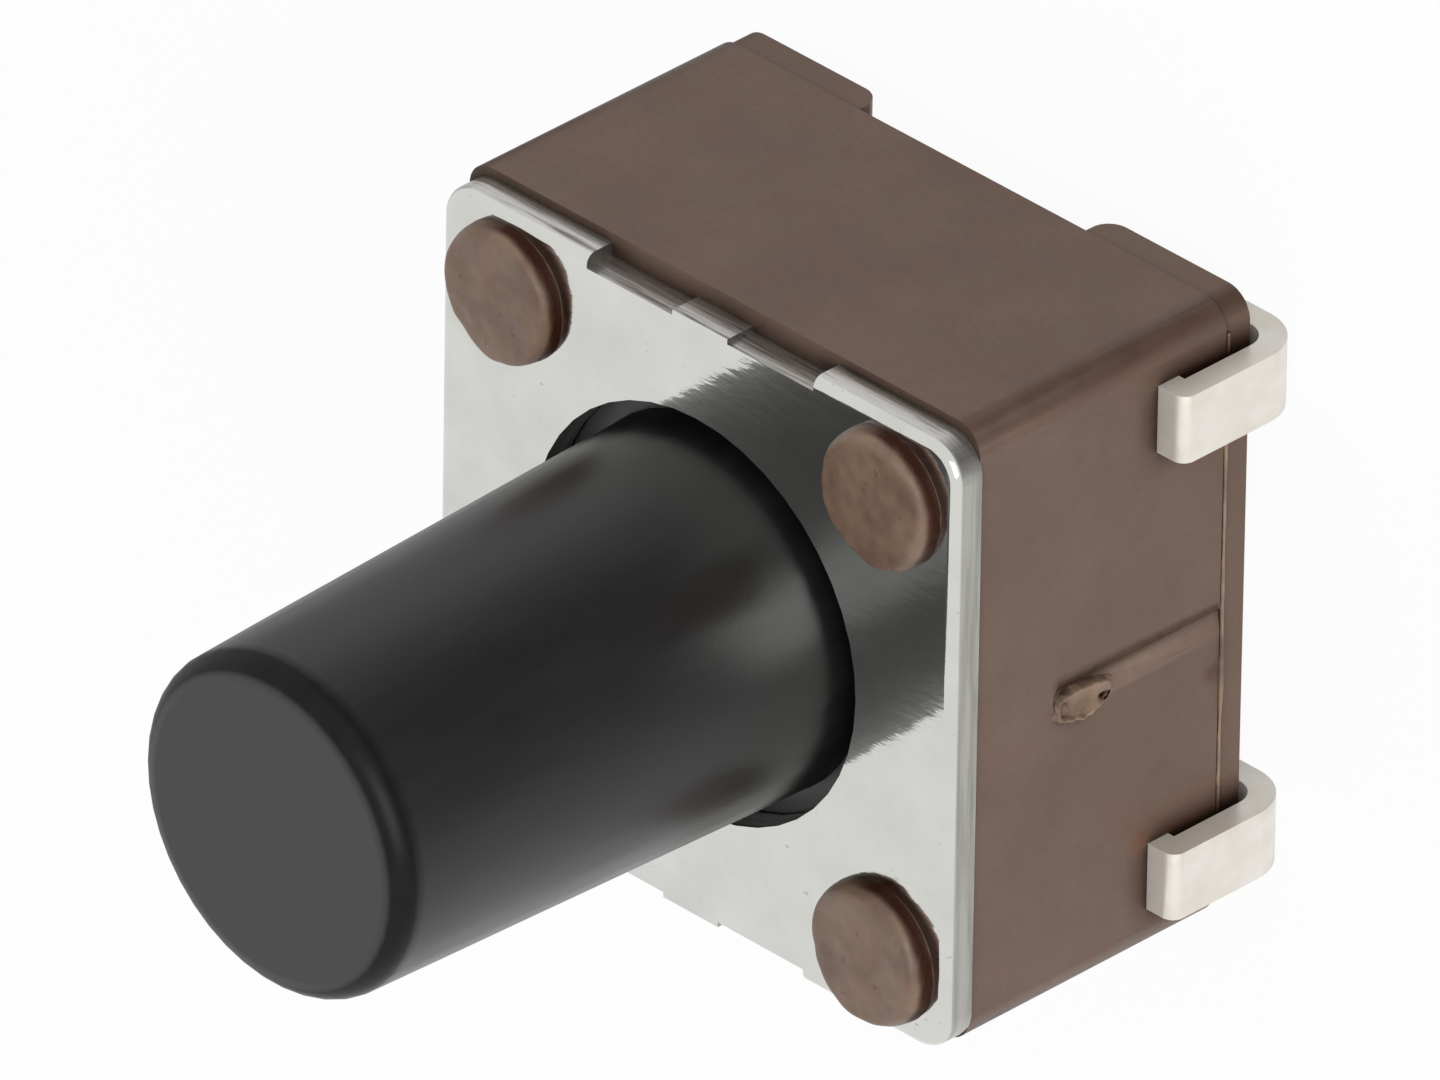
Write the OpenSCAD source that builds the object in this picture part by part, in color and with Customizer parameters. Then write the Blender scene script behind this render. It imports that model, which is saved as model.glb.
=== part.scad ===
// Surface-mount tactile push button switch, 6 mm square, with four J-leads and a long tapered stem.
// Lengths are in millimetres. The origin is the middle of the footprint, on the board's surface.
// +Z runs up the stem, and the leads come out of the two X sides.

/* [Cover plate] */
// Width of the cover plate from one lead side to the other
cover_w = 6.1; // [5.9:0.05:6.4]
// How much narrower the plate is at each plain side
cover_trim = 0.075; // [0.06:0.005:0.1]
// How far the plate and its posts sit off the middle, towards one plain side
cover_shift = 0.045; // [0:0.005:0.05]
// Thickness of the cover plate
cover_t = 0.3; // [0.2:0.05:0.4]
// Radius of the plate's corners in plan
cover_corner_r = 0.35; // [0.25:0.05:0.6]
// Die-rolled rounding of the plate's upper edge
cover_edge_r = 0.1; // [0.06:0.02:0.14]
// Height of the plate's upper face above the board
cover_top_h = 3.9; // [3.7:0.05:4.6]
// Width of plate between its edge and the hole for the stem
hole_rim = 1.13; // [1.05:0.01:1.35]
// Distance from the plate's corner to the cut-back in each plain edge
notch_inset = 1.71; // [1.5:0.01:1.95]
// Depth of the cut-back
notch_depth = 0.13; // [0.1:0.01:0.2]
// Width of the sheared carrier stub in the middle of the cut-back
stub_w = 0.65; // [0.4:0.05:0.9]
// How far the stub stays behind the plate's edge
stub_setback = 0.08; // [0.04:0.01:0.09]
// How far the cut-backs lie from the middle of their edges
notch_shift = 0.02; // [0:0.02:0.2]

/* [Stem] */
// Height of the stem's tip above the cover
stem_h = 4.95; // [2:0.05:8]
// Draft of the stem's side, in degrees
stem_draft = 1.85; // [0.5:0.05:3]
// Rounding between the stem's side and its tip
stem_tip_r = 0.22; // [0.1:0.02:0.5]
// Gap between the stem and the hole in the cover
stem_gap = 0.2; // [0.12:0.01:0.25]
// How far the flange reaches past the edge of the hole in the cover
flange_lap = 0.3; // [0.2:0.02:0.36]
// Thickness of the flange
flange_t = 0.8; // [0.4:0.05:1.0]
// Diameter of the nub that presses the dome
nub_d = 1.3; // [0.8:0.05:1.8]

/* [Housing] */
// Step from the cover's edge in to the housing's side
housing_setback = 0.03; // [0.02:0.01:0.08]
// Radius of the housing's upright corners
housing_corner_r = 0.26; // [0.16:0.02:0.32]
// Height of the two rails under the housing
rail_h = 0.3; // [0.24:0.02:0.36]
// Width of each rail
rail_w = 1.66; // [1.3:0.02:1.9]
// Rounding of the rails' lower edges at the channel
rail_corner_r = 0.2; // [0.1:0.02:0.2]
// Step inwards at the parting line above the rails
parting_step = 0.02; // [0.01:0.01:0.05]
// Gap between the flange and the wall of the well
well_gap = 0.12; // [0.08:0.01:0.16]
// Thickness of the housing's side at the dome's seat
seat_wall = 0.96; // [0.9:0.01:1.06]
// Gap between the dome's rim and the wall of its seat
seat_gap = 0.06; // [0.04:0.01:0.1]
// Depth of the seat that holds the dome, from the well's step down to the floor
seat_depth = 0.4; // [0.3:0.02:0.5]
// Thickness of plastic over the contact strips, through which their pads reach the dome
floor_skin = 0.1; // [0.06:0.01:0.15]

/* [Gate mark] */
// Width of the groove from the moulding gate, at its round end
groove_w = 0.37; // [0.3:0.01:0.45]
// Width of the groove's steep slope, along its upper edge in the side view
groove_steep_w = 0.13; // [0.08:0.01:0.16]
// Depth of the groove at its round end
groove_depth = 0.06; // [0.04:0.01:0.09]
// Share of the groove's depth and of its steep slope that is left at the parting line
groove_low_depth = 0.4; // [0.3:0.05:0.8]
// Share of the groove's width that is left at the parting line
groove_low_width = 0.8; // [0.5:0.05:0.95]
// Distance from the cover's upper face to the middle of the groove's round end
groove_end = 1.41; // [1.2:0.05:1.8]
// Distance of the groove's straight edge from the middle of its side
groove_shift = 0.22; // [0.1:0.02:0.4]
// Diameter of the pit where the gate broke off
gate_pit_d = 0.16; // [0.12:0.02:0.28]
// Distance from the middle of the round end to the pit
gate_pit_back = 0.42; // [0.3:0.02:0.6]

/* [Staked posts] */
// Distance from the cover's edge to the middle of a post
post_inset = 0.82; // [0.8:0.01:0.95]
// Diameter of each post
post_d = 0.95; // [0.8:0.05:1.05]
// Gap between a post and its hole in the cover
post_gap = 0.04; // [0.02:0.01:0.06]
// Diameter of the melted head
head_d = 1.2; // [1.14:0.02:1.4]
// Height of the melted head above the cover
head_h = 0.17; // [0.13:0.01:0.24]
// Rounding of the melted head's rim
head_edge_r = 0.08; // [0.05:0.01:0.1]
// Radius of the melted head's crown
head_crown_r = 3.2; // [2:0.2:6]

/* [Leads] */
// Distance from the cover's edge to the middle of a lead
lead_inset = 0.8; // [0.75:0.01:0.95]
// Width of a lead
lead_w = 0.65; // [0.5:0.05:0.7]
// Thickness of the contact strip
lead_t = 0.24; // [0.2:0.01:0.28]
// Height of the strip's upper face above the board
strip_top_h = 1.5; // [1.4:0.02:1.6]
// Gap between the housing's side and a lead's flank
flank_gap = 0.07; // [0.04:0.01:0.1]
// Outer radius of the coined shoulder where a lead turns down
shoulder_r = 0.12; // [0.06:0.01:0.18]
// Inner radius of the curl under the housing
curl_in_r = 0.24; // [0.2:0.01:0.26]
// Length of the flat foot that is soldered
foot_len = 0.3; // [0.2:0.02:0.4]
// Gap between the foot and the rail above it
foot_gap = 0.16; // [0.13:0.01:0.2]
// Angle through which the lead's tip turns up under the rail
tip_turn = 40; // [20:2:44]

/* [Contacts] */
// Width of the bridge between the centre strip and its pad
bridge_w = 0.9; // [0.6:0.05:1.1]
// Diameter of the centre pad
pad_d = 1.2; // [0.9:0.05:1.4]
// Height of the centre pad's button above the floor
button_h = 0.06; // [0.04:0.01:0.08]
// Width of the two arms that carry the dome's rim
arm_w = 0.5; // [0.4:0.05:0.6]
// How far the arms' outer edges stay inside the dome's rim
arm_inset = 0.1; // [0.05:0.01:0.15]
// Gap between the arms' ends and the centre strip
arm_gap = 0.52; // [0.3:0.02:0.8]

/* [Snap dome] */
// Thickness of the dome's sheet
dome_t = 0.08; // [0.05:0.01:0.1]
// Height of the dome's crown above its rim, measured on its upper face
dome_rise = 0.39; // [0.37:0.01:0.45]

/* [Hidden] */

$fn = 96;
eps = 0.01;
seat_play = 0.02;
nub_play = 0.01;

// Heights of the faces, from the board up
cover_under_h = cover_top_h - cover_t;
rail_low_h = lead_t + foot_gap;
channel_h = rail_low_h + rail_h;
strip_under_h = strip_top_h - lead_t;
floor_h = strip_top_h + floor_skin;
dome_top_h = floor_h + dome_rise;
flange_top_h = cover_under_h - seat_play;
flange_low_h = flange_top_h - flange_t;
nub_low_h = dome_top_h + nub_play;
stem_top_h = cover_top_h + stem_h;

// Plan sizes
cover_y = cover_w - 2 * cover_trim;
housing_w = cover_w - 2 * housing_setback;
wall_x = housing_w / 2;
foot_side = housing_w - 2 * parting_step;
rail_inner_x = foot_side / 2 - rail_w;
notch_len = cover_w - 2 * notch_inset;
stem_hole_d = cover_w - 2 * hole_rim;
stem_base_d = stem_hole_d - 2 * stem_gap;
flange_d = stem_hole_d + 2 * flange_lap;
well_d = flange_d + 2 * well_gap;
seat_d = housing_w - 2 * seat_wall;
dome_d = seat_d - 2 * seat_gap;
post_pitch = cover_w - 2 * post_inset;
post_hole_d = post_d + 2 * post_gap;
lead_pitch = cover_w - 2 * lead_inset;

// Stem's taper, as the loss of radius for each millimetre of height
taper = tan(stem_draft);
taper_len = sqrt(1 + taper * taper);

// A lead seen from the side: its outer face, and the centre of its curl
curl_r = curl_in_r + lead_t;
flank_x = wall_x + flank_gap;
lead_outer_x = flank_x + lead_t;
curl_x = flank_x - curl_in_r;
foot_x = curl_x - foot_len;

// A rectangle with round corners, centred on the origin
module round_rect(x_len, y_len, r) {
    square([x_len - 2 * r, y_len], center = true);
    square([x_len, y_len - 2 * r], center = true);
    for (x = [-1, 1], y = [-1, 1])
        translate([x * (x_len / 2 - r), y * (y_len / 2 - r)]) circle(r);
}

// The four places of the staked posts
module at_posts() {
    for (x = [-1, 1], y = [-1, 1])
        translate([x * post_pitch / 2, y * post_pitch / 2 - cover_shift, 0]) children();
}

// What a rounding of radius r takes from a convex corner: a square less a quarter disc
module corner_waste(r) {
    difference() {
        translate([-r, -r]) square(r + eps);
        translate([-r, -r]) circle(r);
    }
}

// What the die rolls off the cover's upper edge: straight runs and a ring at each corner
module edge_roll() {
    corner_x = cover_w / 2 - cover_corner_r;
    corner_y = cover_y / 2 - cover_corner_r;
    for (x = [0, 1]) mirror([x, 0, 0]) translate([cover_w / 2, corner_y, cover_top_h])
        rotate([90, 0, 0]) linear_extrude(2 * corner_y) corner_waste(cover_edge_r);
    for (y = [0, 1]) mirror([0, y, 0]) translate([-corner_x, cover_y / 2, cover_top_h])
        rotate([90, 0, 90]) linear_extrude(2 * corner_x) corner_waste(cover_edge_r);
    for (x = [0, 1], y = [0, 1]) mirror([x, 0, 0]) mirror([0, y, 0])
        translate([corner_x, corner_y, cover_top_h]) intersection() {
            rotate_extrude() translate([cover_corner_r, 0]) corner_waste(cover_edge_r);
            translate([0, 0, -2 * cover_edge_r]) cube([cover_w, cover_w, 3 * cover_edge_r]);
        }
}

// The cut-back in one plain edge, with the carrier's stub left standing in it
module edge_notch() {
    translate([0, cover_y / 2, 0]) difference() {
        translate([notch_shift - notch_len / 2, -notch_depth]) square([notch_len, 2 * notch_depth]);
        translate([notch_shift - stub_w / 2, -2 * notch_depth])
            square([stub_w, 2 * notch_depth - stub_setback]);
    }
}

module cover() {
    color([0.81, 0.81, 0.79]) difference() {
        translate([0, 0, cover_under_h]) linear_extrude(cover_t) difference() {
            translate([0, -cover_shift]) difference() {
                round_rect(cover_w, cover_y, cover_corner_r);
                edge_notch();
                mirror([0, 1]) edge_notch();
            }
            circle(d = stem_hole_d);
            at_posts() circle(d = post_hole_d);
        }
        translate([0, -cover_shift, 0]) edge_roll();
    }
}

// Half section of the stem: a tapered side, a rounded rim and a flat tip
module stem_section() {
    rim_z = stem_top_h - stem_tip_r;
    side_r = stem_base_d / 2 - taper * (rim_z - cover_top_h);
    rim_x = side_r - stem_tip_r * taper_len;
    touch = [rim_x + stem_tip_r / taper_len, rim_z + stem_tip_r * taper / taper_len];
    low_z = flange_top_h - eps;
    low_r = stem_base_d / 2 + taper * (cover_top_h - low_z);
    polygon([[0, low_z], [low_r, low_z], touch, [rim_x, stem_top_h], [0, stem_top_h]]);
    translate([rim_x, rim_z]) intersection() {
        circle(stem_tip_r);
        square(2 * stem_tip_r);
    }
}

module stem() {
    color([0.13, 0.13, 0.13]) union() {
        rotate_extrude() stem_section();
        translate([0, 0, flange_low_h]) cylinder(h = flange_t, d = flange_d);
        translate([0, 0, nub_low_h]) cylinder(h = flange_low_h - nub_low_h + eps, d = nub_d);
    }
}

// Half section of a melted head: a round rim under a low crown
module head_section() {
    flat_r = head_d / 2 - head_edge_r;
    intersection() {
        union() {
            square([flat_r, head_h]);
            square([head_d / 2, head_h - head_edge_r]);
            translate([flat_r, head_h - head_edge_r]) circle(head_edge_r);
        }
        translate([0, head_h - head_crown_r]) circle(head_crown_r);
        square([head_d, head_h]);
    }
}

module staked_post() {
    translate([0, 0, cover_under_h - eps]) cylinder(h = cover_t + 2 * eps, d = post_d);
    translate([0, 0, cover_top_h]) rotate_extrude() head_section();
}

// One rail seen from a plain side, rounded below where it ends at the channel
module rail_profile() {
    r = rail_corner_r;
    translate([rail_inner_x + r, rail_low_h]) square([rail_w, rail_h + eps]);
    translate([rail_inner_x, rail_low_h + r]) square([rail_w, rail_h - r + eps]);
    translate([rail_inner_x + r, rail_low_h + r]) circle(r);
}

// The housing's bulk above the parting line, and two rails with a channel between them below it
module housing_block() {
    translate([0, 0, channel_h]) linear_extrude(cover_under_h - channel_h)
        round_rect(housing_w, housing_w, housing_corner_r);
    intersection() {
        linear_extrude(cover_under_h) round_rect(foot_side, foot_side, housing_corner_r);
        for (x = [0, 1]) mirror([x, 0, 0]) translate([0, housing_w / 2, 0]) rotate([90, 0, 0])
            linear_extrude(housing_w) rail_profile();
    }
}

// A thin slice through the valley that the moulding gate left: its bottom reaches into the wall,
// and the rest stands outside
module valley_slice(width, depth_share) {
    linear_extrude(eps) polygon([
        [groove_w, 0],
        [groove_w, width],
        [eps, width],
        [-groove_depth * depth_share, width - groove_steep_w * depth_share],
        [eps, 0]
    ]);
}

// What the moulding gate left on one X side: a shallow valley with a round end, which runs out
// towards the parting line, and a pit where the gate broke off
module gate_groove() {
    end_h = cover_top_h - groove_end;
    end_r = groove_w / 2;
    translate([0, -groove_shift, 0]) intersection() {
        translate([wall_x - 1, 0, 0]) rotate([90, 0, 90]) linear_extrude(2) {
            translate([0, channel_h - eps]) square([groove_w, end_h - channel_h]);
            translate([end_r, end_h]) circle(end_r);
        }
        hull() {
            translate([wall_x, 0, end_h + end_r]) valley_slice(groove_w, 1);
            translate([wall_x, 0, channel_h - eps])
                valley_slice(groove_w * groove_low_width, groove_low_depth);
        }
    }
    translate([wall_x - 2 * groove_depth, gate_pit_d / 4 - groove_shift, end_h - gate_pit_back])
        rotate([0, 90, 0]) cylinder(h = 1, d = gate_pit_d);
}

module housing() {
    color([0.47, 0.39, 0.35]) difference() {
        union() {
            housing_block();
            at_posts() staked_post();
        }
        translate([0, 0, floor_h + seat_depth]) cylinder(h = cover_under_h - floor_h, d = well_d);
        translate([0, 0, floor_h]) cylinder(h = seat_depth + eps, d = seat_d);
        gate_groove();
        centre_metal();
        outer_metal();
    }
}

// A bend of the strip, seen from the side: a sector of a ring between two angles
module bend(in_r, from, to) {
    reach = 2 * (in_r + lead_t);
    middle = (from + to) / 2;
    intersection() {
        difference() {
            circle(in_r + lead_t);
            circle(in_r);
        }
        polygon([
            [0, 0],
            [reach * cos(from), reach * sin(from)],
            [reach * cos(middle), reach * sin(middle)],
            [reach * cos(to), reach * sin(to)]
        ]);
    }
}

// Side view of one J-lead: shoulder, flank, curl, flat foot and turned-up tip
module lead_section() {
    r = shoulder_r;
    translate([0, strip_under_h]) square([lead_outer_x - r, lead_t]);
    translate([lead_outer_x - r, strip_top_h - r]) circle(r);
    translate([flank_x, curl_r]) square([lead_t, strip_top_h - r - curl_r]);
    translate([curl_x, curl_r]) bend(curl_in_r, -90, 0);
    translate([foot_x, 0]) square([foot_len, lead_t]);
    translate([foot_x, curl_r]) bend(curl_in_r, -90 - tip_turn, -90);
}

// Two J-leads on one strip that runs across the housing
module strip_with_leads() {
    translate([0, lead_w / 2, 0]) rotate([90, 0, 0]) linear_extrude(lead_w) {
        lead_section();
        mirror([1, 0]) lead_section();
    }
}

module centre_metal() {
    translate([0, lead_pitch / 2, 0]) strip_with_leads();
    translate([0, 0, strip_under_h]) linear_extrude(lead_t) {
        translate([-bridge_w / 2, 0]) square([bridge_w, lead_pitch / 2]);
        circle(d = pad_d);
    }
    translate([0, 0, strip_under_h]) cylinder(h = lead_t + floor_skin + button_h, d = pad_d / 2);
}

module outer_metal() {
    translate([0, -lead_pitch / 2, 0]) strip_with_leads();
    translate([0, 0, strip_under_h]) linear_extrude(lead_t) arm_plan();
    translate([0, 0, strip_under_h]) linear_extrude(lead_t + floor_skin) intersection() {
        arm_plan();
        circle(d = dome_d);
    }
}

// Outline of the two arms, from the outer strip to short of the centre strip
module arm_plan() {
    arm_x = dome_d / 2 - arm_w / 2 - arm_inset;
    arm_len = lead_pitch - lead_w / 2 - arm_gap;
    for (x = [-1, 1]) translate([x * arm_x - arm_w / 2, -lead_pitch / 2]) square([arm_w, arm_len]);
}

module centre_contact() {
    color([0.84, 0.83, 0.8]) centre_metal();
}

module outer_contact() {
    color([0.84, 0.83, 0.8]) outer_metal();
}

// A spherical cap of thin sheet, standing on its rim
module snap_dome() {
    rim_r = dome_d / 2;
    // Sphere through the rim and the crown of the upper face
    sheet_r = (rim_r * rim_r + dome_rise * dome_rise) / (2 * dome_rise);
    color([0.7, 0.71, 0.72]) translate([0, 0, floor_h]) rotate_extrude() intersection() {
        translate([0, dome_rise - sheet_r]) difference() {
            circle(sheet_r, $fn = 360);
            circle(sheet_r - dome_t, $fn = 360);
        }
        square([rim_r, dome_rise + eps]);
    }
}

housing();
cover();
stem();
snap_dome();
centre_contact();
outer_contact();
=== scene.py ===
import math

import bmesh
import bpy
from mathutils import Matrix, Vector, noise


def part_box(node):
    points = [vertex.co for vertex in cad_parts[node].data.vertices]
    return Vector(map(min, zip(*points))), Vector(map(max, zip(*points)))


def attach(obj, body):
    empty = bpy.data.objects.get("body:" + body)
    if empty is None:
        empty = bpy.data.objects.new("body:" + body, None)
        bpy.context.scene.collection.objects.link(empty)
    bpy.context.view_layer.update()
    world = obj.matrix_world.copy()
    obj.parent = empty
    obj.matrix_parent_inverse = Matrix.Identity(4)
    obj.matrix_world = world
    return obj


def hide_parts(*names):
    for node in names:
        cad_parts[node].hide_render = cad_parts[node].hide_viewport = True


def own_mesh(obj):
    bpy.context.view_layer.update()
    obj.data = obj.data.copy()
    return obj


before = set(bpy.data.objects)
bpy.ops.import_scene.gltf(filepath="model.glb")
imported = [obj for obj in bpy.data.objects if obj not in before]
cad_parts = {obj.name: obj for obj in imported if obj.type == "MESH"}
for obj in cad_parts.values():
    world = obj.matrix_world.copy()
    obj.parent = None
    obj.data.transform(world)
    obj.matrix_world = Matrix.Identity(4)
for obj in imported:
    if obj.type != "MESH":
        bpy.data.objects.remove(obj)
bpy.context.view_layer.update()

MM = 0.001

# Faces of the CAD pieces that the other places are measured from, in metres
COVER_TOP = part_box("cover")[1].z
COVER_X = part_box("cover")[1].x
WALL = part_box("housing")[1].x
STEM_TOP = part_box("stem")[1].z

# The posts, in millimetres: how far inside the cover's X edges they stand, how far that is from
# the middle, along X and along Y alike, and how far all four are shifted towards -Y
POST_INSET = 0.82
POST_OFF = COVER_X / MM - POST_INSET
POST_SHIFT = 0.045

# The CAD pieces with broken edges: the edges' width in millimetres, the least turn from face to
# face that counts as an edge, and the distance in metres within which a seam's corners are merged
BROKEN_EDGES = {"housing": 0.03, "stem": 0.02, "centre_contact": 0.07, "outer_contact": 0.07}
EDGE_TURN = math.radians(35)
WELD_DISTANCE = 0.0002 * MM

# How pale each state of the nylon is, from 0 to 1
PALENESS = {"brown_nylon": 0.0, "melted_nylon": 0.35, "torn_nylon": 0.8}

# Stains on the nylon in millimetres: centre, radius and colour
STAINS = (
    ((3.02, -0.1, 2.07), 0.1, (26, 15, 10)),
    ((3.02, -0.16, 2.6), 0.08, (44, 26, 17)),
    ((3.03, -1.88, 1.6), 0.16, (126, 74, 46)),
    ((3.02, -0.55, 0.77), 0.14, (78, 44, 30)),
)

# The painted dark reflection along the nylon's upright edges: where it begins and where it is
# full, in millimetres from the middle
EDGE_REFLECTION_X, EDGE_REFLECTION_Y = (2.72, 2.86), (2.84, 2.93)

# The gate's groove on the +X wall, whose steep slope gets painted shade and its gentle slope
# painted light, in millimetres: where it starts and stops on the way up, where its wall begins, the
# middles of its two slopes along Y, and their half-widths, of which the steep slope has one at its
# foot and one at its top
GROOVE_START, GROOVE_STOP = (0.68, 0.74), (2.6, 2.7)
GROOVE_WALL = (2.9, 2.93)
STEEP_SLOPE, GENTLE_SLOPE = 0.075, -0.11
STEEP_HALVES, GENTLE_HALF = (0.06, 0.13), 0.14

# The stem's rounded rim: the stretches in which it begins and ends, in millimetres under the tip
RIM_BEGIN, RIM_END = (0.3, 0.18), (0.02, 0.004)

# The four melted heads in millimetres: which corner, how far each is set off its post, its radius
HEADS = (
    (-1, 1, 0.0, -0.01, 0.645), (1, 1, 0.01, -0.01, 0.645),
    (1, -1, 0.01, -0.015, 0.665), (-1, -1, -0.01, 0.01, 0.65),
)
HEAD_HEIGHT = 0.21
HEAD_FOOT = -0.01

# How uneven a head's outline is, as a share of its radius, and its mesh: counts of rings and of
# segments, and the power that crowds the rings towards the rim
HEAD_RIPPLE = 0.02
HEAD_RINGS, HEAD_SEGMENTS = 44, 112
RING_POWER = 0.45

# The thin lip past a head's steep side: its share of the radius, its height in millimetres, and
# the bearing in degrees of the side on which it shows
LIP_SHARE = 0.035
LIP_HEIGHT = 0.035
LIP_BEARING = 25

# The snap dome: its sheet and the dimple in its crown
DOME_SHEET = 0.08 * MM
DIMPLE_R, DIMPLE_DEPTH = 0.3 * MM, 0.012 * MM

# The dome's mesh: counts of rings and of segments, and the width of its innermost ring, which is a
# small share of the others'
DOME_RINGS, DOME_SEGMENTS = 28, 96
PINHOLE = 0.001

# How far the parting line lies over the housing's underside in millimetres, and its height in metres
PARTING_RISE = 0.27
PARTING_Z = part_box("housing")[0].z + PARTING_RISE * MM

# The flash on the parting line, in millimetres: how far it stops short of the corners, how proud
# it can be, how far it is rooted in the wall, and the middle and half-length of the stretch along
# its side where it is thickest
FLASH_SHORT = 0.28
FLASH_PROUD = 0.035
FLASH_ROOT = 0.03
FLASH_SWELL, SWELL_HALF = -0.53, 0.5
FLASH_STEPS = 220

# The gate's torn patch on the +X wall: the corners of its grid along Y and Z in millimetres, and
# how many cells it has
SCAR_LOW, SCAR_HIGH = (-0.46, 1.84), (0.1, 2.84)
SCAR_COLUMNS, SCAR_ROWS = 120, 70

# The patch's parts, and the spot of painted shade in its crescent: middle and half-size along Y and
# Z, in millimetres
SCAR_RIM = ((-0.165, 2.33), (0.13, 0.29))
SCAR_HOLLOW = ((-0.17, 2.33), (0.1, 0.22))
SCAR_PLUG = ((-0.12, 2.22), (0.1, 0.17))
SCAR_CRESCENT = ((-0.15, 2.55), (0.09, 0.05))
CRESCENT_SHADE = ((-0.15, 2.55), (0.09, 0.04))
SCAR_PIT = ((-0.2, 2.07), (0.03, 0.05))

# The photograph's view, fitted to the cover plate's edges: the picture's right and down, then the
# camera's place from the middle of the cover's top, its lens and its sensor in millimetres, and
# the nearest and farthest that it sees in metres
CAMERA_RIGHT = (0.70338, 0.01382, -0.71068)
CAMERA_DOWN = (0.38369, -0.84903, 0.36323)
CAMERA_DISTANCE, CAMERA_ASIDE, CAMERA_UP = 334.15, 0.2221, 0.6199
CAMERA_LENS, CAMERA_SENSOR = 1000, 36
CAMERA_CLIP = (0.01, 5)

# The square key lamp in millimetres, and how bright it and the plain light from all round are
KEY_DIRECTION = (1.0, 0.35, 0.75)
KEY_DISTANCE, KEY_SIZE, KEY_RADIANCE = 300, 200, 3.4
AMBIENT = 0.55

# The floor in metres, just under the feet, and the share of plain white in it where it is seen
FLOOR_HALF, FLOOR_LEVEL = 0.4, -0.02 * MM
FLOOR_GLOW = 0.95

# The studio's plain white
WHITE = (1.0, 1.0, 1.0, 1.0)

# Brightness that the studio shows in reflections from below, by bearing in degrees round the switch
LOW_REFLECTIONS = (
    (-180, 0.6), (-118, 1.0), (-60, 1.0), (-20, 0.75), (0, 0.4), (42, 0.2), (72, 0.2),
    (102, 0.45), (122, 0.75), (141, 0.75), (165, 0.5), (180, 0.6),
)


# Colours

def srgb(red, green, blue):
    """A colour given as 0 to 255, as linear values with alpha."""
    def linear(value):
        value = value / 255
        return value / 12.92 if value <= 0.04045 else ((value + 0.055) / 1.055) ** 2.4
    return (linear(red), linear(green), linear(blue), 1.0)


# Material helpers

def blank_material(name):
    """A material with nothing but its output, of which it gives the surface socket."""
    material = bpy.data.materials.new(name)
    material.use_nodes = True
    tree = material.node_tree
    tree.nodes.clear()
    return material, tree, tree.nodes.new("ShaderNodeOutputMaterial").inputs["Surface"]


def new_material(name):
    """A material with only a Principled shader and its output."""
    material, tree, surface = blank_material(name)
    shader = tree.nodes.new("ShaderNodeBsdfPrincipled")
    tree.links.new(shader.outputs["BSDF"], surface)
    return material, tree, shader


def mm_position(tree):
    """The object's own coordinates in millimetres."""
    coordinates = tree.nodes.new("ShaderNodeTexCoord")
    scaled = tree.nodes.new("ShaderNodeVectorMath")
    scaled.operation = "SCALE"
    scaled.inputs["Scale"].default_value = 1 / MM
    tree.links.new(coordinates.outputs["Object"], scaled.inputs[0])
    return scaled.outputs["Vector"]


def split(tree, vector):
    """The outputs X, Y and Z of a vector."""
    node = tree.nodes.new("ShaderNodeSeparateXYZ")
    tree.links.new(vector, node.inputs["Vector"])
    return node.outputs


def stretched(tree, vector, scale):
    """The vector scaled differently along X, Y and Z, for grain that runs one way."""
    mapping = tree.nodes.new("ShaderNodeMapping")
    mapping.inputs["Scale"].default_value = scale
    tree.links.new(vector, mapping.inputs["Vector"])
    return mapping.outputs["Vector"]


def noise_value(tree, vector, scale, detail=4.0, roughness=0.55):
    """Cloudy noise around 0.5."""
    node = tree.nodes.new("ShaderNodeTexNoise")
    node.inputs["Scale"].default_value = scale
    node.inputs["Detail"].default_value = detail
    node.inputs["Roughness"].default_value = roughness
    tree.links.new(vector, node.inputs["Vector"])
    return node.outputs["Fac"]


def remap(tree, value, from_low, from_high, to_low=0.0, to_high=1.0):
    """The value carried from one range to another, and held at that range's ends."""
    node = tree.nodes.new("ShaderNodeMapRange")
    node.inputs["From Min"].default_value = from_low
    node.inputs["From Max"].default_value = from_high
    node.inputs["To Min"].default_value = to_low
    node.inputs["To Max"].default_value = to_high
    tree.links.new(value, node.inputs["Value"])
    return node.outputs["Result"]


def math_node(tree, operation, first, second=0.0):
    """A sum, product or the like of numbers or other nodes' outputs."""
    node = tree.nodes.new("ShaderNodeMath")
    node.operation = operation
    for socket, value in zip(node.inputs, (first, second)):
        if isinstance(value, (int, float)):
            socket.default_value = value
        else:
            tree.links.new(value, socket)
    return node.outputs["Value"]


def absolute(tree, value):
    """The value without its sign."""
    return math_node(tree, "ABSOLUTE", value)


def product(tree, first, *others):
    """The product of all the values."""
    for other in others:
        first = math_node(tree, "MULTIPLY", first, other)
    return first


def largest(tree, first, *others):
    """The largest of the values."""
    for other in others:
        first = math_node(tree, "MAXIMUM", first, other)
    return first


def mixed_colour(tree, factor, low, high):
    """A mix of two colours, each a tuple or another node's output."""
    node = tree.nodes.new("ShaderNodeMix")
    node.data_type = "RGBA"
    for socket, value in ((node.inputs[0], factor), (node.inputs[6], low), (node.inputs[7], high)):
        if isinstance(value, (int, float, tuple)):
            socket.default_value = value
        else:
            tree.links.new(value, socket)
    return node.outputs[2]


def mixed_shader(tree, factor, low, high):
    """A mix of two shaders."""
    node = tree.nodes.new("ShaderNodeMixShader")
    for socket, output in zip(node.inputs, (factor, low, high)):
        tree.links.new(output, socket)
    return node.outputs["Shader"]


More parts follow.
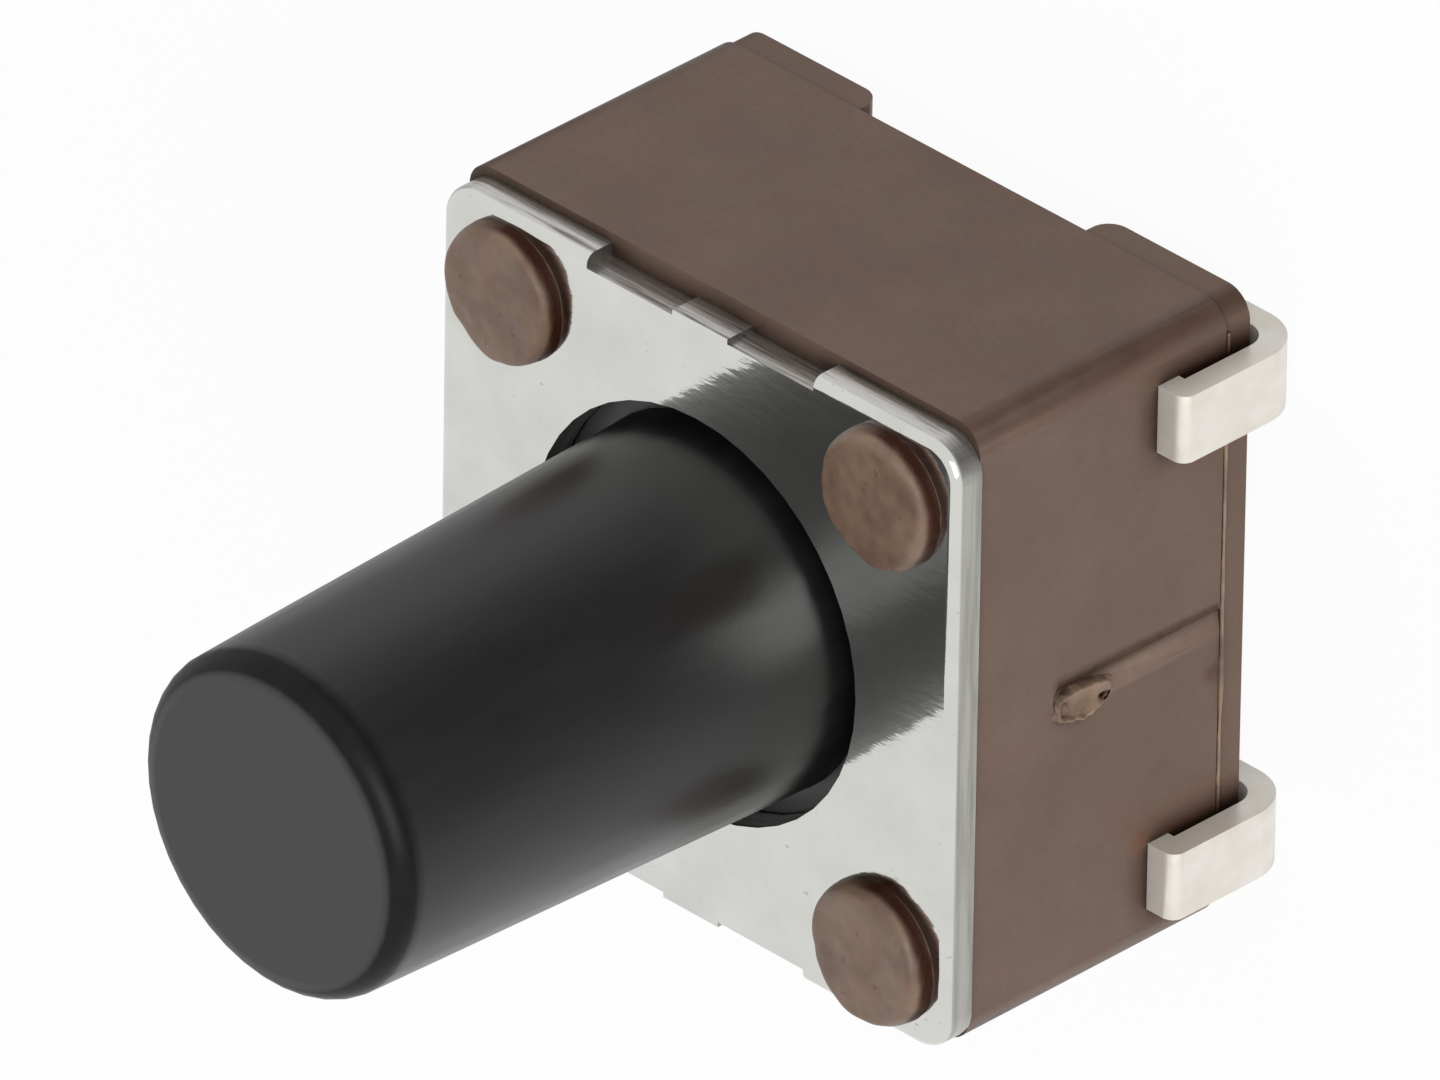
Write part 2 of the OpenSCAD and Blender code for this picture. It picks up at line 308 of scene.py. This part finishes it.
def bump(tree, height, distance_mm, strength=1.0, normal=None):
    """The surface's direction, made uneven by a height on top of another such direction."""
    node = tree.nodes.new("ShaderNodeBump")
    node.inputs["Strength"].default_value = strength
    node.inputs["Distance"].default_value = distance_mm * MM
    tree.links.new(height, node.inputs["Height"])
    if normal is not None:
        tree.links.new(normal, node.inputs["Normal"])
    return node.outputs["Normal"]


def crevice_shade(tree, reach_mm):
    """0 deep in a crevice and 1 in the open, for painted shade in corners."""
    node = tree.nodes.new("ShaderNodeAmbientOcclusion")
    node.samples = 8
    node.inputs["Distance"].default_value = reach_mm * MM
    return node.outputs["AO"]


def near_point(tree, place, centre, radius):
    """1 at a point of the object, falling to 0 at the radius, both in millimetres."""
    node = tree.nodes.new("ShaderNodeVectorMath")
    node.operation = "DISTANCE"
    node.inputs[1].default_value = centre
    tree.links.new(place, node.inputs[0])
    return remap(tree, node.outputs["Value"], 0.2 * radius, radius, 1.0, 0.0)


def facing(tree, axis, low, high):
    """1 on faces square to an axis and 0 on faces along it, from the surface's own direction."""
    geometry = tree.nodes.new("ShaderNodeNewGeometry")
    normal = split(tree, geometry.outputs["True Normal"])
    return remap(tree, absolute(tree, normal[axis]), low, high)


def ray_is(tree, *kinds):
    """1 for rays of any of these kinds, such as Camera, and 0 for others."""
    path = tree.nodes.new("ShaderNodeLightPath")
    return largest(tree, *(path.outputs[f"Is {kind} Ray"] for kind in kinds))


# Materials

def painted_edge_reflection(tree, place):
    """How far the nylon is darkened along the block's four upright edges, mostly on its Y sides, as
    a painted dark reflection.
    """
    spot = split(tree, place)
    across = remap(tree, absolute(tree, spot["X"]), *EDGE_REFLECTION_X)
    along = remap(tree, absolute(tree, spot["Y"]), *EDGE_REFLECTION_Y)
    cloudy = remap(tree, noise_value(tree, place, 2.0, 3.0), 0.3, 0.7, 0.45, 0.8)
    return product(tree, across, along, cloudy)


def moulded_tones(tree, place, grain):
    """The colour of brown nylon: cloudy and blotchy, with fine grain and stains, and a painted dark
    reflection along its upright edges.
    """
    clouds = remap(tree, noise_value(tree, place, 0.9, 3.0), 0.35, 0.65)
    blotches = remap(tree, noise_value(tree, place, 3.2, 4.0, 0.6), 0.45, 0.7)
    patchy = remap(tree, blotches, 0.0, 1.0, 0.5, 0.9)
    colour = mixed_colour(tree, clouds, srgb(103, 80, 67), srgb(113, 89, 75))
    colour = mixed_colour(tree, product(tree, blotches, 0.4), colour, srgb(110, 80, 64))
    colour = mixed_colour(tree, remap(tree, grain, 0.3, 0.7, 0.0, 0.25), colour, srgb(88, 68, 56))
    for centre, radius, stain in STAINS:
        spot = product(tree, near_point(tree, place, centre, radius), patchy)
        colour = mixed_colour(tree, spot, colour, srgb(*stain))
    # Painted dark reflection along the upright edges
    return mixed_colour(tree, painted_edge_reflection(tree, place), colour, srgb(66, 40, 26))


def groove_band(tree, across, middle, half_width):
    """1 along the middle of a band of the gate's groove, falling to 0 at the band's edges."""
    offset = absolute(tree, math_node(tree, "SUBTRACT", across, middle))
    return remap(tree, math_node(tree, "DIVIDE", offset, half_width), 0.35, 1.0, 1.0, 0.0)


def groove_light_and_shade(tree, place, colour):
    """The colour with painted shade on the gate groove's steep slope and painted light on the other.

    Also gives how much painted shade each place has, from 0 to 1.
    """
    spot = split(tree, place)
    across, height = spot["Y"], spot["Z"]
    above = remap(tree, height, *GROOVE_START)
    below = remap(tree, height, *GROOVE_STOP, 1.0, 0.0)
    on_wall = remap(tree, spot["X"], *GROOVE_WALL)
    uneven = remap(tree, noise_value(tree, place, 7.0, 3.0), 0.3, 0.7, 0.7, 1.0)
    here = product(tree, above, below, on_wall, uneven)
    steep_half = remap(tree, height, 0.7, 2.5, *STEEP_HALVES)
    # Painted shade on the steep slope and painted light on the gentle one
    painted_shade = product(tree, groove_band(tree, across, STEEP_SLOPE, steep_half), here)
    gentle = groove_band(tree, across, GENTLE_SLOPE, GENTLE_HALF)
    pale = product(tree, gentle, here, remap(tree, height, 0.7, 1.5, 0.2, 1.0), 0.75)
    groove_lit_colour = mixed_colour(tree, pale, colour, srgb(146, 121, 104))
    return mixed_colour(tree, painted_shade, groove_lit_colour, srgb(72, 52, 40)), painted_shade


def paler_tones(tree, place, colour, paleness):
    """The colour of nylon that was melted or torn: unevenly pale, with sparse dark specks."""
    blotches = noise_value(tree, place, 2.2, 3.0)
    uneven = remap(tree, blotches, 0.38, 0.62, 0.3 * paleness, paleness)
    colour = mixed_colour(tree, uneven, colour, srgb(174, 145, 120))
    specks = remap(tree, noise_value(tree, place, 9.0, 2.0), 0.66, 0.74, 0.0, 0.5)
    return mixed_colour(tree, specks, colour, srgb(72, 46, 32))


def nylon_material(name):
    """Brown moulded nylon in one of the states of PALENESS, with painted shade in its crevices.

    A piece's attribute for painted shade darkens it, and is 0 on pieces without it.
    """
    material, tree, shader = new_material(name)
    place = mm_position(tree)
    grain = noise_value(tree, place, 28.0, 6.0, 0.65)
    colour, groove_shade = groove_light_and_shade(tree, place, moulded_tones(tree, place, grain))
    if PALENESS[name]:
        colour = paler_tones(tree, place, colour, PALENESS[name])
    # Painted shade that the heads and the torn patch carry as an attribute
    attribute = tree.nodes.new("ShaderNodeAttribute")
    attribute.attribute_name = "painted_shade"
    painted_shade = attribute.outputs["Fac"]
    colour = mixed_colour(tree, painted_shade, colour, srgb(58, 27, 12))
    # Painted shade in crevices, with less gloss wherever painted shade lies
    shade = remap(tree, crevice_shade(tree, 0.3), 0.5, 0.98, 0.95, 0.0)
    colour = mixed_colour(tree, shade, colour, srgb(34, 19, 12))
    dull = remap(tree, largest(tree, shade, painted_shade, groove_shade), 0.0, 1.0, 0.45, 0.1)
    tree.links.new(colour, shader.inputs["Base Color"])
    tree.links.new(dull, shader.inputs["Specular IOR Level"])
    tree.links.new(remap(tree, grain, 0.3, 0.7, 0.36, 0.5), shader.inputs["Roughness"])
    tree.links.new(bump(tree, grain, 0.004, 0.5), shader.inputs["Normal"])
    return material


def sheet_tones(tree, place, waves):
    """The colour of the plate's flat side: bright steel with sparse grey flecks."""
    dark, light = (0.60, 0.60, 0.57, 1), (0.66, 0.66, 0.63, 1)
    base = mixed_colour(tree, remap(tree, waves, 0.3, 0.7), dark, light)
    specks = noise_value(tree, stretched(tree, place, (9.0, 20.0, 9.0)), 1.0, 2.0)
    flecks = remap(tree, specks, 0.69, 0.75)
    patches = remap(tree, noise_value(tree, place, 0.8, 2.0), 0.45, 0.6)
    return mixed_colour(tree, product(tree, flecks, patches, 0.6), base, srgb(112, 110, 102))


def sheared_tones(tree, drawn):
    """The colour of the plate's edges: streaked, and more evenly grey on the sides with leads."""
    streaks, soft_streaks = remap(tree, drawn, 0.38, 0.5), remap(tree, drawn, 0.35, 0.6)
    plain_side = mixed_colour(tree, streaks, srgb(150, 146, 143), srgb(224, 221, 217))
    lead_side = mixed_colour(tree, soft_streaks, srgb(160, 159, 154), srgb(184, 182, 176))
    return mixed_colour(tree, facing(tree, "X", 0.5, 0.8), plain_side, lead_side)


def steel_material():
    """Bright rolled stainless sheet: rolling lines along X, and duller sheared edges."""
    material, tree, shader = new_material("rolled_stainless")
    place = mm_position(tree)
    lines = noise_value(tree, stretched(tree, place, (2.2, 7.0, 2.2)), 1.0, 3.0, 0.6)
    fine_lines = noise_value(tree, stretched(tree, place, (1.0, 60.0, 1.0)), 1.0, 2.0, 0.5)
    waves = noise_value(tree, place, 1.6, 2.0)
    drawn = noise_value(tree, stretched(tree, place, (0.7, 0.7, 13.0)), 1.0, 3.0, 0.6)
    edge = math_node(tree, "SUBTRACT", 1.0, facing(tree, "Z", 0.15, 0.3))
    top, sheared = sheet_tones(tree, place, waves), sheared_tones(tree, drawn)
    tree.links.new(mixed_colour(tree, edge, top, sheared), shader.inputs["Base Color"])
    shader.inputs["Metallic"].default_value = 1.0
    smooth = remap(tree, fine_lines, 0.3, 0.7, 0.05, 0.12)
    rough = remap(tree, drawn, 0.35, 0.65, 0.42, 0.28)
    roughness = largest(tree, smooth, product(tree, edge, rough))
    tree.links.new(roughness, shader.inputs["Roughness"])
    wavy = bump(tree, waves, 0.01, 0.3)
    ruled = bump(tree, lines, 0.004, 0.7, wavy)
    scored = bump(tree, product(tree, drawn, edge), 0.01, 0.5, ruled)
    tree.links.new(scored, shader.inputs["Normal"])
    return material


def stem_material():
    """Black moulded plastic, satin, with fine grain, faint rubbing marks and a duller round rim."""
    material, tree, shader = new_material("black_nylon")
    place = mm_position(tree)
    grain = noise_value(tree, place, 22.0, 5.0, 0.6)
    marks = noise_value(tree, stretched(tree, place, (4.0, 4.0, 0.8)), 1.0, 4.0)
    colour = mixed_colour(tree, remap(tree, marks, 0.4, 0.7), srgb(18, 17, 17), srgb(24, 23, 22))
    tree.links.new(colour, shader.inputs["Base Color"])
    height, tip = split(tree, place)["Z"], STEM_TOP / MM
    over_side = remap(tree, height, *(tip - depth for depth in RIM_BEGIN))
    under_tip = remap(tree, height, *(tip - depth for depth in RIM_END), 1.0, 0.0)
    dull = remap(tree, product(tree, over_side, under_tip), 0.0, 1.0, 0.6, 0.15)
    tree.links.new(dull, shader.inputs["Specular IOR Level"])
    tree.links.new(remap(tree, marks, 0.3, 0.7, 0.32, 0.38), shader.inputs["Roughness"])
    tree.links.new(bump(tree, grain, 0.003, 0.4), shader.inputs["Normal"])
    return material


def plated_material():
    """Silver plate over brass, milky and a little cloudy."""
    material, tree, shader = new_material("silver_plate")
    place = mm_position(tree)
    clouds = noise_value(tree, place, 3.0, 4.0)
    grain = noise_value(tree, stretched(tree, place, (1.0, 6.0, 1.0)), 2.5, 2.0)
    cloudy = remap(tree, clouds, 0.35, 0.65)
    colour = mixed_colour(tree, cloudy, srgb(240, 236, 229), srgb(232, 225, 213))
    tree.links.new(colour, shader.inputs["Base Color"])
    shader.inputs["Metallic"].default_value = 0.35
    tree.links.new(remap(tree, clouds, 0.3, 0.7, 0.28, 0.36), shader.inputs["Roughness"])
    tree.links.new(bump(tree, grain, 0.008, 0.3), shader.inputs["Normal"])
    return material


def spring_material():
    """Thin stainless spring sheet."""
    material, tree, shader = new_material("spring_steel")
    place = mm_position(tree)
    lines = noise_value(tree, stretched(tree, place, (2.0, 40.0, 2.0)), 2.0, 4.0)
    shader.inputs["Base Color"].default_value = srgb(196, 196, 194)
    shader.inputs["Metallic"].default_value = 1.0
    tree.links.new(remap(tree, lines, 0.3, 0.7, 0.18, 0.3), shader.inputs["Roughness"])
    return material


def floor_material():
    """Plain white floor: nearly white where it is seen, with a faint shadow kept.

    It is clear from below, so that the underside of the switch can be seen.
    """
    material, tree, surface = blank_material("white_floor")
    lit = tree.nodes.new("ShaderNodeBsdfDiffuse")
    lit.inputs["Color"].default_value = (0.9, 0.9, 0.9, 1)
    white = tree.nodes.new("ShaderNodeEmission")
    white.inputs["Color"].default_value = WHITE
    white.inputs["Strength"].default_value = 1.0
    glow = product(tree, ray_is(tree, "Camera", "Glossy", "Transmission"), FLOOR_GLOW)
    above = mixed_shader(tree, glow, lit.outputs["BSDF"], white.outputs["Emission"])
    clear = tree.nodes.new("ShaderNodeBsdfTransparent")
    geometry = tree.nodes.new("ShaderNodeNewGeometry")
    one_sided = mixed_shader(tree, geometry.outputs["Backfacing"], above, clear.outputs["BSDF"])
    tree.links.new(one_sided, surface)
    return material


# Pieces

def new_object(name, data):
    """A new object in the scene."""
    thing = bpy.data.objects.new(name, data)
    bpy.context.scene.collection.objects.link(thing)
    return thing


def dress(node, material):
    """Gives a CAD node its material and, where BROKEN_EDGES asks for them, slightly broken edges."""
    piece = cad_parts[node]
    piece.data.materials.clear()
    piece.data.materials.append(material)
    if node in BROKEN_EDGES:
        weld = piece.modifiers.new("weld", "WELD")
        weld.merge_threshold = WELD_DISTANCE
        bevel = piece.modifiers.new("edges", "BEVEL")
        bevel.width = BROKEN_EDGES[node] * MM
        bevel.segments = 3
        bevel.limit_method = "ANGLE"
        bevel.angle_limit = EDGE_TURN
        bevel.harden_normals = True


def add_piece(name, shape, material):
    """A new piece of the base from a bmesh, with smooth faces."""
    mesh = bpy.data.meshes.new(name)
    bmesh.ops.recalc_face_normals(shape, faces=shape.faces)
    shape.to_mesh(mesh)
    shape.free()
    mesh.polygons.foreach_set("use_smooth", [True] * len(mesh.polygons))
    piece = new_object(name, mesh)
    piece.data.materials.append(material)
    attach(piece, "base")
    return piece


def turns(count):
    """Evenly spaced angles round a full turn."""
    return [2 * math.pi * step / count for step in range(count)]


def join_loops(shape, inside, outside):
    """Faces between two closed loops that have the same number of corners."""
    for step in range(len(inside)):
        following = (step + 1) % len(inside)
        shape.faces.new((inside[step], outside[step], outside[following], inside[following]))


def head_point(share, angle, radius, seed):
    """A point of a melted head in millimetres from its middle, and how much painted shade it has
    there.

    The share is how far out the point lies, from 0 in the middle to 1 at the rim.
    """
    around = Vector((math.cos(angle), math.sin(angle), 0))
    ripple = noise.noise(around * 1.3 + Vector((seed, 0, 0)))
    ripple += 0.5 * noise.noise(around * 3.7 + Vector((0, seed, 0)))
    reach = share * (1 + HEAD_RIPPLE * ripple)
    point = Vector((radius * reach * around.x, radius * reach * around.y, 0))
    lip_side = max(0.0, math.cos(angle - math.radians(LIP_BEARING))) ** 0.8
    uneven = 1 + 0.3 * noise.noise(around * 6.0 + Vector((seed, 0, 3)))
    shoulder = 1 - LIP_SHARE * lip_side * uneven
    lump = noise.noise(point * 2.6 + Vector((0, 0, seed))) * 0.03
    lump += noise.noise(point * 7.0 + Vector((seed, 0, 0))) * 0.01
    inner = max(0.0, 1 - (share / shoulder) ** 20) ** 0.5
    outer = (1 - share ** 16) ** 0.5
    point.z = HEAD_FOOT + max((HEAD_HEIGHT + lump) * inner, LIP_HEIGHT * outer)
    # Painted shade on the head's steep side, on the lip's side only
    nearness = 1.6 - abs(share - shoulder) / 0.022
    return point, min(1.0, max(0.0, nearness)) * min(1.0, 2 * lip_side)


def melted_head(name, middle, radius, seed, material):
    """A low lumpy head over a post: flat-topped and steep at its rim, with an uneven outline.

    The middle of its foot and its radius are in millimetres.
    """
    place = Matrix.Translation(middle)
    shape = bmesh.new()
    # Painted shade on the head's steep side, kept on its corners
    painted_shade = shape.verts.layers.float.new("painted_shade")
    crown = shape.verts.new(place @ Vector((0, 0, HEAD_HEIGHT)) * MM)
    loops = []
    for ring in range(1, HEAD_RINGS + 1):
        share = (ring / HEAD_RINGS) ** RING_POWER
        loop = []
        for angle in turns(HEAD_SEGMENTS):
            point, head_shade = head_point(share, angle, radius, seed)
            corner = shape.verts.new(place @ point * MM)
            corner[painted_shade] = head_shade
            loop.append(corner)
        loops.append(loop)
    for step, corner in enumerate(loops[0]):
        shape.faces.new((crown, corner, loops[0][(step + 1) % HEAD_SEGMENTS]))
    for inside, outside in zip(loops, loops[1:]):
        join_loops(shape, inside, outside)
    add_piece(name, shape, material)


def dome_layer(shape, radius, reach, middle_z):
    """One side of the dome's sheet, as rings from its crown to its rim, which lies at the reach."""
    loops = []
    for ring in range(DOME_RINGS + 1):
        tilt = reach * (ring + PINHOLE) / (DOME_RINGS + PINHOLE)
        across = radius * math.sin(tilt)
        dip = DIMPLE_DEPTH * max(0.0, 1 - (across / DIMPLE_R) ** 2) ** 2
        height = middle_z + radius * math.cos(tilt) - dip
        loops.append([
            shape.verts.new((across * math.cos(turn), across * math.sin(turn), height))
            for turn in turns(DOME_SEGMENTS)
        ])
    shape.faces.new(loops[0])
    for inside, outside in zip(loops, loops[1:]):
        join_loops(shape, inside, outside)
    return loops


def pressed_dome(material):
    """The snap dome as thin sheet with a dimple in its crown."""
    low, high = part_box("snap_dome")
    rim_r, rise = high.x, high.z - low.z
    sheet_r = (rim_r ** 2 + rise ** 2) / (2 * rise)
    shape = bmesh.new()
    upper, lower = (
        dome_layer(shape, radius, math.acos((sheet_r - rise) / radius), low.z + rise - sheet_r)
        for radius in (sheet_r, sheet_r - DOME_SHEET)
    )
    join_loops(shape, upper[-1], lower[-1])
    piece = add_piece("pressed_dome", shape, material)
    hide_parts("snap_dome")
    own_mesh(piece)


def flash_outline(along, turn):
    """The flash's outline at a place along its side: distances out of the middle, and heights."""
    ragged = 0.5 + 0.5 * noise.noise(Vector((along * 2.2, turn, 0)))
    nicks = max(0.0, noise.noise(Vector((along * 7.0, 0, turn))))
    swell = max(0.0, 1 - ((along - FLASH_SWELL) / SWELL_HALF) ** 2)
    proud = FLASH_PROUD * (0.2 + 0.3 * ragged + 0.7 * swell - 0.3 * nicks)
    wide = 0.018 + 0.02 * ragged + 0.012 * swell + 0.01 * nicks
    wall, parting = WALL / MM, PARTING_Z / MM
    return (
        (wall - FLASH_ROOT, parting + wide),
        (wall + 0.3 * proud, parting + 0.5 * wide),
        (wall + proud, parting),
        (wall + 0.6 * proud, parting - 0.4 * wide),
        (wall - FLASH_ROOT, parting - wide),
    )


def parting_flash(name, turn, material):
    """The thin uneven ridge that the mould left along the parting line of one side."""
    half = WALL / MM - FLASH_SHORT
    around = Matrix.Rotation(math.radians(turn), 3, "Z")
    shape = bmesh.new()
    rows = []
    for step in range(FLASH_STEPS + 1):
        along = -half + 2 * half * step / FLASH_STEPS
        outline = flash_outline(along, turn)
        rows.append([shape.verts.new(around @ Vector((x, along, z)) * MM) for x, z in outline])
    corners = len(rows[0])
    for row, following in zip(rows, rows[1:]):
        for corner in range(corners):
            other = (corner + 1) % corners
            shape.faces.new((row[corner], row[other], following[other], following[corner]))
    shape.faces.new(rows[0])
    shape.faces.new(rows[-1])
    add_piece(name, shape, material)


def off_middle(y, z, part):
    """How far a place lies off the middle of a part of the torn patch, in its half-sizes."""
    (middle_y, middle_z), (half_y, half_z) = part
    return (y - middle_y) / half_y, (z - middle_z) / half_z


def bell(distance):
    """A smooth hump: 1 at no distance, and nearly 0 from 2 on."""
    return math.exp(-distance ** 2)


def hump(y, z, part):
    """1 in the middle of a part of the torn patch, falling off smoothly past its edge."""
    return bell(math.hypot(*off_middle(y, z, part)))


def scar_height(y, z):
    """How far the torn patch of the gate stands off the wall at a place on it, in millimetres."""
    off_y, off_z = off_middle(y, z, SCAR_RIM)
    at = Vector((y, z, 0.0))
    ragged = 1 + 0.16 * noise.noise(at * 6.0) + 0.07 * noise.noise(at * 19.0)
    across = math.hypot(off_y, off_z) * ragged
    torn = 0.5 + 0.5 * math.cos(math.atan2(off_z, off_y) - math.radians(140))
    rim = (0.01 + 0.036 * torn) * bell((across - 1) / 0.17) * (1 + 0.7 * noise.noise(at * 11.0))
    plug = 0.022 * hump(y, z, SCAR_PLUG)
    crescent = -0.045 * hump(y, z, SCAR_CRESCENT)
    pit = -0.08 * hump(y, z, SCAR_PIT)
    buried = -0.09 * min(1.0, max(0.0, (across - 1.1) / 0.5))
    return 0.004 + rim + plug + crescent + pit + buried + 0.006 * noise.noise(at * 26.0)


def scar_shade(y, z):
    """How much painted shade the torn patch has at a place on it, most of all in its hollow and its
    pit.
    """
    inside = hump(y, z, SCAR_HOLLOW)
    crescent = hump(y, z, CRESCENT_SHADE)
    pit = hump(y, z, SCAR_PIT)
    return min(1.0, 0.55 * inside + 0.6 * crescent + pit)


def gate_scar(name, material):
    """The torn patch where the moulding gate broke off: a ragged rim, a plug, a hollow and a pit."""
    (low_y, low_z), (high_y, high_z) = SCAR_LOW, SCAR_HIGH
    shape = bmesh.new()
    # Painted shade in the patch's hollow, crescent and pit, kept on its corners
    painted_shade = shape.verts.layers.float.new("painted_shade")
    grid = []
    for column in range(SCAR_COLUMNS + 1):
        z = low_z + (high_z - low_z) * column / SCAR_COLUMNS
        line = []
        for row in range(SCAR_ROWS + 1):
            y = low_y + (high_y - low_y) * row / SCAR_ROWS
            corner = shape.verts.new(Vector((WALL / MM + scar_height(y, z), y, z)) * MM)
            corner[painted_shade] = scar_shade(y, z)
            line.append(corner)
        grid.append(line)
    for near, far in zip(grid, grid[1:]):
        for row in range(SCAR_ROWS):
            shape.faces.new((near[row], near[row + 1], far[row + 1], far[row]))
    add_piece(name, shape, material)


# Studio

def make_camera():
    """The photograph's view, with the stem pointing down and left."""
    right = Vector(CAMERA_RIGHT).normalized()
    down = Vector(CAMERA_DOWN)
    down = (down - right * down.dot(right)).normalized()
    back = -right.cross(down)
    place = Vector((0, 0, COVER_TOP)) + back * (CAMERA_DISTANCE * MM)
    place = place + right * (CAMERA_ASIDE * MM) - down * (CAMERA_UP * MM)
    data = bpy.data.cameras.new("camera")
    data.sensor_width = CAMERA_SENSOR
    data.lens = CAMERA_LENS
    data.clip_start, data.clip_end = CAMERA_CLIP
    camera = new_object("camera", data)
    camera.matrix_world = Matrix((
        (right.x, -down.x, back.x, place.x),
        (right.y, -down.y, back.y, place.y),
        (right.z, -down.z, back.z, place.z),
        (0, 0, 0, 1),
    ))
    bpy.context.scene.camera = camera


def make_key_lamp():
    """The square soft lamp that looks at the middle of the switch."""
    target = Vector((0, 0, COVER_TOP))
    place = target + Vector(KEY_DIRECTION).normalized() * KEY_DISTANCE * MM
    data = bpy.data.lights.new("key", "AREA")
    data.size = KEY_SIZE * MM
    data.energy = KEY_RADIANCE * math.pi * data.size ** 2
    lamp = new_object("key", data)
    lamp.location = place
    lamp.rotation_mode = "QUATERNION"
    lamp.rotation_quaternion = (place - target).to_track_quat("Z", "Y")


def mirrored_studio(tree):
    """What reflections show of the studio: white above, and LOW_REFLECTIONS below the horizon."""
    coordinates = tree.nodes.new("ShaderNodeTexCoord")
    direction = split(tree, coordinates.outputs["Generated"])
    bearing = math_node(tree, "ARCTAN2", direction["Y"], direction["X"])
    ramp = tree.nodes.new("ShaderNodeValToRGB")
    ramp.color_ramp.interpolation = "EASE"
    while len(ramp.color_ramp.elements) < len(LOW_REFLECTIONS):
        ramp.color_ramp.elements.new(0.5)
    for element, (degrees, level) in zip(ramp.color_ramp.elements, LOW_REFLECTIONS):
        element.position = (degrees + 180) / 360
        element.color = (level, level, level, 1)
    tree.links.new(remap(tree, bearing, -math.pi, math.pi), ramp.inputs["Fac"])
    low = remap(tree, direction["Z"], -0.25, 0.0, 1.0, 0.0)
    return mixed_colour(tree, low, WHITE, ramp.outputs["Color"])


def make_world():
    """White to the camera, plain grey for the light on the object, and another look in reflections.

    The dark part of that look stands for the dark side of the table, which the stem mirrors.
    """
    world = bpy.data.worlds.new("studio")
    bpy.context.scene.world = world
    world.use_nodes = True
    tree = world.node_tree
    grey = (AMBIENT, AMBIENT, AMBIENT, 1.0)
    lighting = mixed_colour(tree, ray_is(tree, "Glossy"), grey, mirrored_studio(tree))
    colour = mixed_colour(tree, ray_is(tree, "Camera", "Transmission"), lighting, WHITE)
    background = tree.nodes["Background"]
    background.inputs["Strength"].default_value = 1.0
    tree.links.new(colour, background.inputs["Color"])


def make_floor():
    """The large white floor, which stays out of the reflections."""
    mesh = bpy.data.meshes.new("floor")
    signs = ((-1, -1), (1, -1), (1, 1), (-1, 1))
    corners = [(x * FLOOR_HALF, y * FLOOR_HALF, FLOOR_LEVEL) for x, y in signs]
    mesh.from_pydata(corners, [], [(0, 1, 2, 3)])
    floor = new_object("floor", mesh)
    floor.data.materials.append(floor_material())
    floor.visible_glossy = False


make_camera()
nylon, melted_nylon, torn_nylon = (nylon_material(name) for name in PALENESS)
dress("housing", nylon)
for number, (x_side, y_side, x_off, y_off, radius) in enumerate(HEADS, 1):
    head_x = x_side * POST_OFF + x_off
    head_y = y_side * POST_OFF - POST_SHIFT + y_off
    middle = (head_x, head_y, COVER_TOP / MM)
    seed = 3.7 * number - 2.4
    melted_head(f"melted_head_{number}", middle, radius, seed, melted_nylon)
for side, turn in enumerate((0, 180), 1):
    parting_flash(f"parting_flash_{side}", turn, torn_nylon)
gate_scar("gate_scar", torn_nylon)
dress("cover", steel_material())
dress("stem", stem_material())
plated = plated_material()
dress("centre_contact", plated)
dress("outer_contact", plated)
pressed_dome(spring_material())
make_floor()
make_world()
make_key_lamp()

bpy.context.scene.view_settings.view_transform = "Standard"
